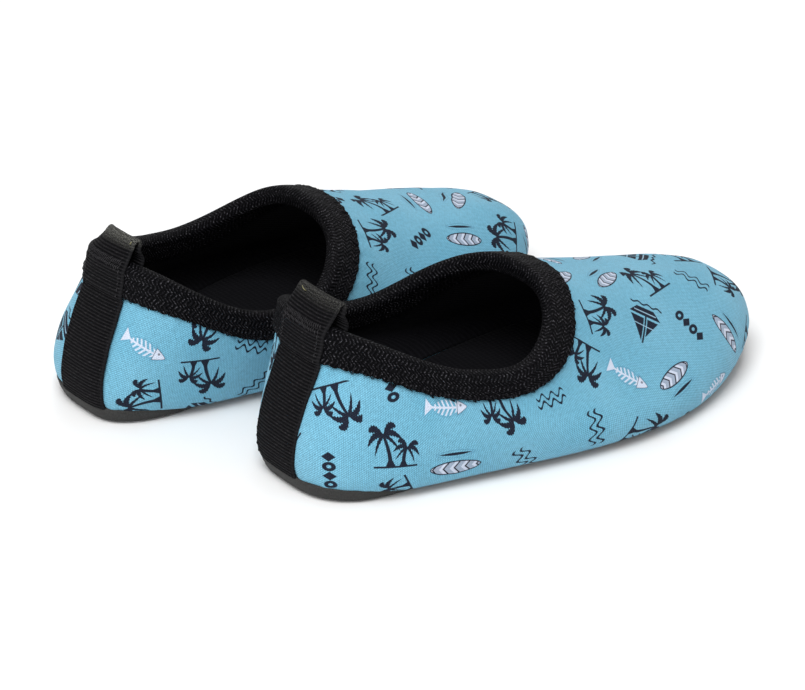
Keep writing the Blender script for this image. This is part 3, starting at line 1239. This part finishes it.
for side in SIDES:
    shoe, fore, tab = side + "_shoe", side + "_forefoot", side + "_tab"
    bend = lambda ob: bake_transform(ob, shoe, fore, row_point(side, 84, 0, OUTSOLE), row_point(side, 136, 0, OUTSOLE))
    nodes = lambda *a: [side + "_" + v for v in a]
    up = make_upper(side)
    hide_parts(*nodes("upper_quarter", "upper_flex", "upper_toe"))
    li = make_lining(side)
    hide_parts(*nodes("lining_quarter", "lining_flex", "lining_toe"))
    bi = make_binding(side)
    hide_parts(*nodes("topline_binding"))
    bs = make_binding_stitches(side)
    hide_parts(*nodes("binding_stitching"))
    os_ = make_outsole(side)
    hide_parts(*nodes("outsole_rear", "outsole_front"))
    ins = make_insole(side)
    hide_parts(*nodes("insole_rear", "insole_front"))
    sc = make_strobel(side)
    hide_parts(*nodes("strobel_rear", "strobel_front"))
    ss = make_strobel_stitches(side)
    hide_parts(*nodes("strobel_stitching_rear", "strobel_stitching_front"))
    for ob in (up, li, bi, bs, os_, ins, sc, ss):
        bend(ob)
    ta, out, nrm, _, ys, along = make_tape(side)
    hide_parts(*nodes("heel_tape", "pull_tab"))
    ts = make_tape_stitches(side, out, nrm, ys, along)
    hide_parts(*nodes("tape_stitching"))
    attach(ts, shoe)
    bt = make_bar_tack(side, out, nrm, ys, along)
    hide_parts(*nodes("bar_tack"))
    te = make_thread_end(side, out, nrm, ys, along)
    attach(te, tab)
    z = TZ[0]
    a0 = row_point(side, TX0 - 0.3, TYC[0], z - 0.3)
    a1 = row_point(side, TX0 - 0.3 + 6.0 * math.sin(TAB_LEAN), TYC[0], z - 0.3 + 6.0 * math.cos(TAB_LEAN))
    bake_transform(ta)
    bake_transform(bt)

# ------------------------------------------------------------------ floor, light and camera
me = bpy.data.meshes.new("floor")
me.from_pydata([(-6, -6, -0.0003), (6, -6, -0.0003), (6, 6, -0.0003), (-6, 6, -0.0003)], [], [(0, 1, 2, 3)])
floor = bpy.data.objects.new("floor", me)
bpy.context.scene.collection.objects.link(floor)
g = Graph("floor_paper")
tc = g.nt.nodes.new("ShaderNodeTexCoord")
nz = g.noise(tc.outputs["Object"], 3.0, 2.0, 0.5)
me.materials.append(g.set(Base_Color=g.mix(nz, (0.90, 0.90, 0.90), (0.93, 0.93, 0.93)), Roughness=0.9))

world = bpy.data.worlds.new("studio")
bpy.context.scene.world = world
world.use_nodes = True
bg = world.node_tree.nodes["Background"]
bg.inputs[0].default_value = (1.0, 1.0, 1.0, 1)
bg.inputs[1].default_value = 0.56


def area(name, loc, target, size, power, color=(1, 1, 1)):
    d = bpy.data.lights.new(name, "AREA")
    d.shape = "RECTANGLE"
    d.size, d.size_y = size
    d.energy = power
    d.color = color
    o = bpy.data.objects.new(name, d)
    o.location = loc
    o.rotation_euler = (Vector(target) - Vector(loc)).to_track_quat("-Z", "Y").to_euler()
    bpy.context.scene.collection.objects.link(o)
    return o


area("key", (-0.45, -0.35, 1.15), (0.03, 0.03, 0.02), (0.7, 0.7), 11.5)
area("fill_left", (-1.1, -0.55, 0.45), (0.02, 0.03, 0.02), (0.9, 0.7), 4.5)
area("rim", (0.7, 0.9, 0.8), (0.04, 0.04, 0.02), (0.7, 0.5), 4.0)

scene = bpy.context.scene
scene.view_settings.view_transform = "Standard"
scene.view_settings.look = "None"
cam_d = bpy.data.cameras.new("camera")
cam = bpy.data.objects.new("camera", cam_d)
scene.collection.objects.link(cam)
scene.camera = cam
az, el, dist, focal = math.radians(-36.13), math.radians(26.75), 846.06, 3327.68
target = np.array([1.33, -56.02, 63.83])
back = np.array([math.sin(az) * math.cos(el), -math.cos(az) * math.cos(el), math.sin(el)])
right = np.array([math.cos(az), math.sin(az), 0.0])
upv = np.cross(back, right)
loc = place("right", (target + back * dist)[None])[0]
M = Matrix.Identity(4)
for r in range(3):
    M[r][0], M[r][1], M[r][2], M[r][3] = right[r], upv[r], back[r], loc[r]
cam.matrix_world = M
cam_d.sensor_fit = "HORIZONTAL"
cam_d.sensor_width = 36.0
cam_d.lens = focal * 36.0 / 805.0
cam_d.clip_start, cam_d.clip_end = 0.01, 50
